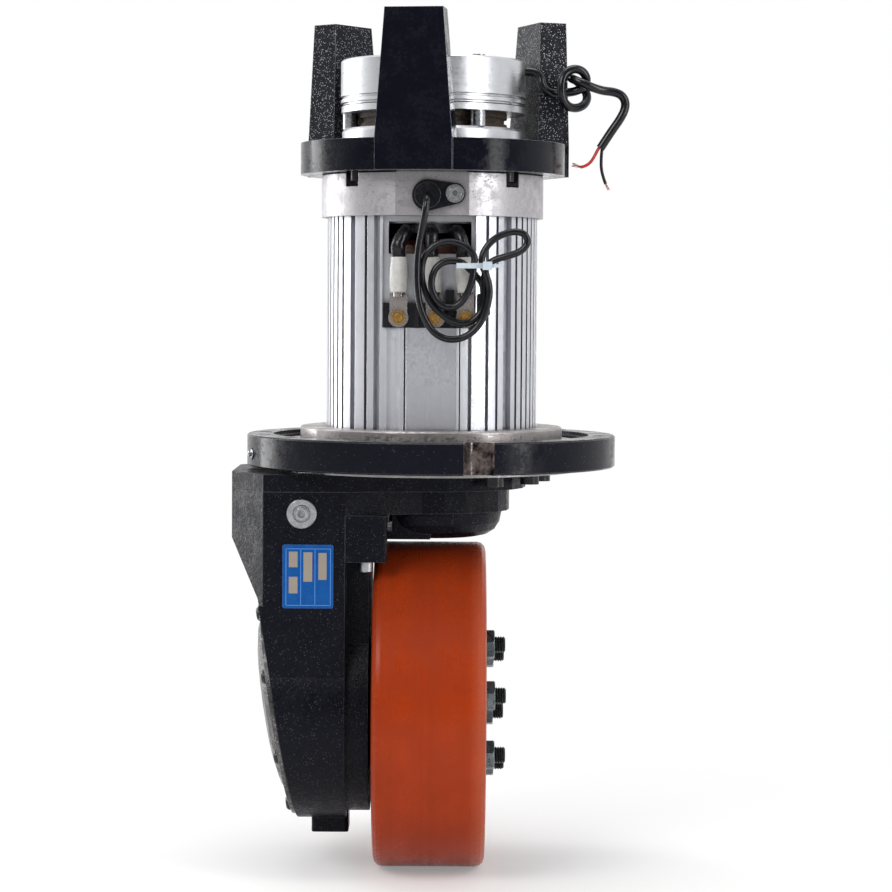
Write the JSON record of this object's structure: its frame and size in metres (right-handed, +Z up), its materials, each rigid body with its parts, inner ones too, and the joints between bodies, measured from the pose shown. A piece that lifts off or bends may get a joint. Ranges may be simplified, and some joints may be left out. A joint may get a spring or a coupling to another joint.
{
  "type": "agv drive wheel unit",
  "caption": "Steerable drive wheel unit: upright finned motor with holding brake above a slewing ring, and a cast bevel gearbox that drives a polyurethane wheel below.",
  "frame": {"origin": "on the swivel axis, in the top face of the slewing ring's outer ring, where the chassis is bolted on", "axes": "+Z up along the swivel axis, +X along the wheel's axle towards the stud side, -Y towards the speed sensor"},
  "size_m": [0.2757, 0.26, 0.598],
  "materials": {
    "ring_black": "satin black with machined faces",
    "machined_steel": "machined",
    "cast_black": "rough cast, painted black",
    "black_paint": "satin black paint on a casting",
    "fin_aluminium": "extruded",
    "cast_aluminium": "as cast",
    "flange_metal": "machined",
    "zinc_steel": "bright zinc",
    "screw_black": "black oxide",
    "zinc_screw": "zinc plated",
    "brass": "turned",
    "tinned_copper": "tinned",
    "polyurethane": "glossy cast polyurethane",
    "black_plastic": "moulded",
    "cable_black": "glossy jacket",
    "wire_red": "glossy jacket",
    "sleeve_white": "shrink sleeve",
    "tie_white": "nylon",
    "plate_blue": "printed",
    "copper_winding": "enamelled wire",
    "lamination": "stacked sheet",
    "friction_lining": "pressed lining",
    "gear_steel": "ground",
    "seal_rubber": "nitrile"
  },
  "bodies": {
    "ring": {"slew_outer_ring": "ring_black", "grease_nipple": "zinc_screw"},
    "slew_balls": {"slew_ball_set": "gear_steel"},
    "wheel": {"tyre": "polyurethane", "wheel_hub": "black_paint", "output_shaft": "machined_steel", "wheel_studs": "screw_black", "wheel_nuts": "zinc_screw", "bevel_wheel": "gear_steel", "axle_locknut": "machined_steel", "axle_bearing_inners": "gear_steel"},
    "pinion": {"pinion_shaft": "gear_steel", "first_stage_gear": "gear_steel", "pinion_bearing_inners": "gear_steel"},
    "rotor": {"motor_shaft": "gear_steel", "rotor_core": "lamination", "motor_bearing_inners": "gear_steel", "brake_hub": "gear_steel", "brake_disc": "friction_lining", "sensor_wheel": "machined_steel"},
    "armature": {"brake_armature": "zinc_steel"},
    "unit": {"axle_seal": "seal_rubber", "bearing_outer_rings": "gear_steel", "black_wire": "cable_black", "boss_pin": "zinc_screw", "bracket_screws": "screw_black", "brake_base_plate": "zinc_steel", "brake_cable": "cable_black", "brake_cable_knot": "cable_black", "brake_coil": "copper_winding", "brake_magnet": "zinc_steel", "brake_screws": "zinc_screw", "brake_springs": "gear_steel", "cable_lugs": "tinned_copper", "cable_tie": "tie_white", "cover_screws": "screw_black", "flange_screws": "zinc_screw", "gearbox_cover": "zinc_steel", "gearbox_housing": "cast_black", "gearbox_lid": "cast_black", "lead_sleeves": "sleeve_white", "motor_flange": "flange_metal", "motor_frame": "fin_aluminium", "motor_leads": "cable_black", "motor_top_shield": "cast_aluminium", "name_plate": "plate_blue", "oil_plug": "zinc_screw", "red_wire": "wire_red", "sensor_cable": "cable_black", "sensor_cable_coil": "cable_black", "sensor_connector": "black_plastic", "sensor_housing": "black_plastic", "sensor_screw": "zinc_screw", "slew_inner_ring": "machined_steel", "slew_ring_screws": "screw_black", "stator_core": "lamination", "stator_windings": "copper_winding", "terminal_board": "black_plastic", "terminal_studs": "brass", "top_bracket": "black_paint"}
  },
  "joints": [
    {"name": "swivel", "type": "hinge", "parent": "ring", "child": "unit", "pos_m": [0, 0, 0], "axis": [0, 0, 1], "continuous": true},
    {"name": "slew_ball_orbit", "type": "hinge", "parent": "ring", "child": "slew_balls", "pos_m": [0, 0, 0], "axis": [0, 0, 1], "continuous": true},
    {"name": "wheel_spin", "type": "hinge", "parent": "unit", "child": "wheel", "pos_m": [0, 0, -0.192], "axis": [1, 0, 0], "continuous": true},
    {"name": "pinion_spin", "type": "hinge", "parent": "unit", "child": "pinion", "pos_m": [-0.067, 0, -0.1], "axis": [0, 0, 1], "continuous": true},
    {"name": "rotor_spin", "type": "hinge", "parent": "unit", "child": "rotor", "pos_m": [0, 0, 0.1], "axis": [0, 0, 1], "continuous": true},
    {"name": "armature_release", "type": "slide", "parent": "unit", "child": "armature", "axis": [0, 0, 1], "range_m": [0, 0.0004]}
  ],
  "couplings": [
    {"joint": "slew_ball_orbit", "follows": "swivel", "ratio": 0.5},
    {"joint": "pinion_spin", "follows": "wheel_spin", "ratio": 4.4444},
    {"joint": "rotor_spin", "follows": "wheel_spin", "ratio": -18.462}
  ]
}
